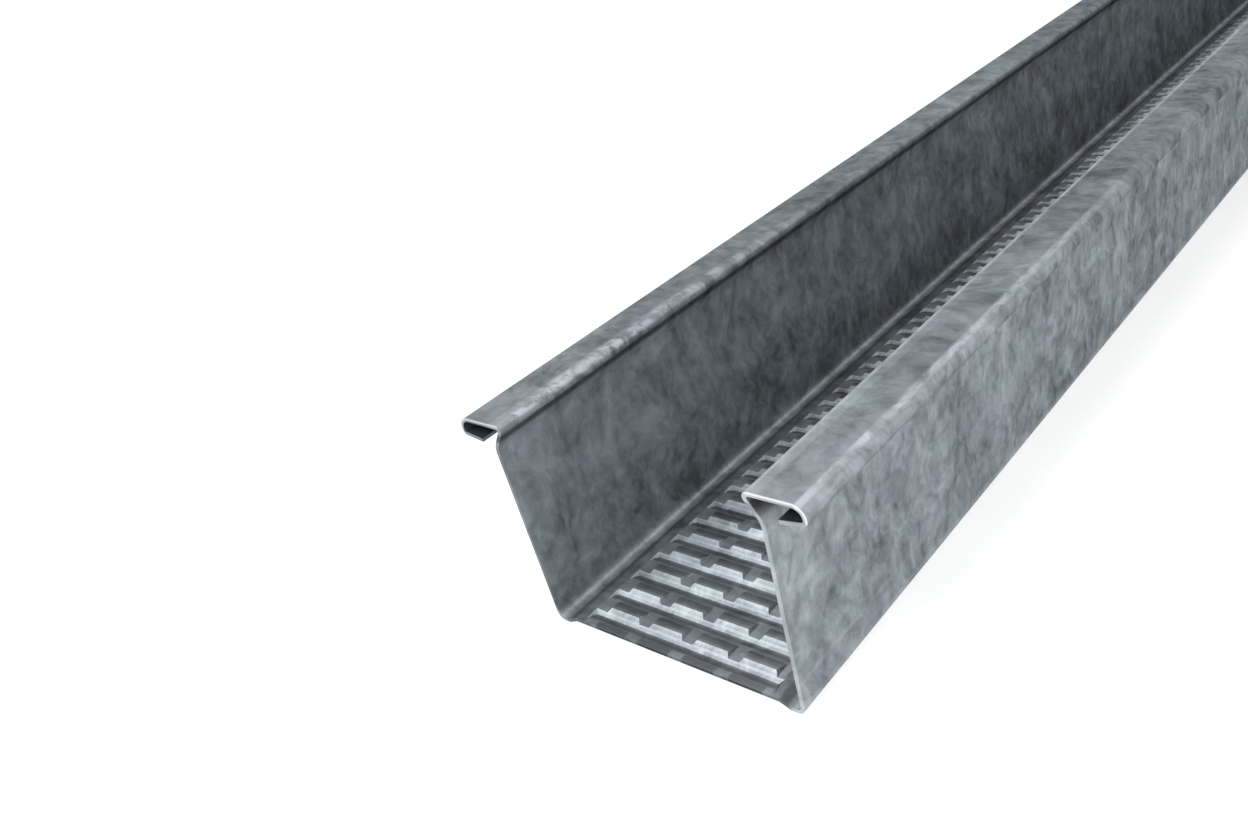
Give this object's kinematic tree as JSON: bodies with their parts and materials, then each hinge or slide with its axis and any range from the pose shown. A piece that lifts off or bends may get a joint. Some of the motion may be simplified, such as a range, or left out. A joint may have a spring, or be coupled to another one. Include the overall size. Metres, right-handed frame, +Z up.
{
  "type": "furring channel",
  "caption": "Length of roll-formed galvanised steel furring channel: flat knurled face web, leaning walls, necked-in flanges and open hems.",
  "frame": {"origin": "on the floor plane under the middle of the length, midway between the walls", "axes": "+Y along the length, +X across to the right wall, +Z up out of the open side"},
  "size_m": [0.0494, 3, 0.029],
  "materials": {
    "galvanised_steel": "hot-dip zinc with a fine mottled spangle, half polished"
  },
  "bodies": {
    "root": {"furring_channel": "galvanised_steel"}
  },
  "joints": []
}
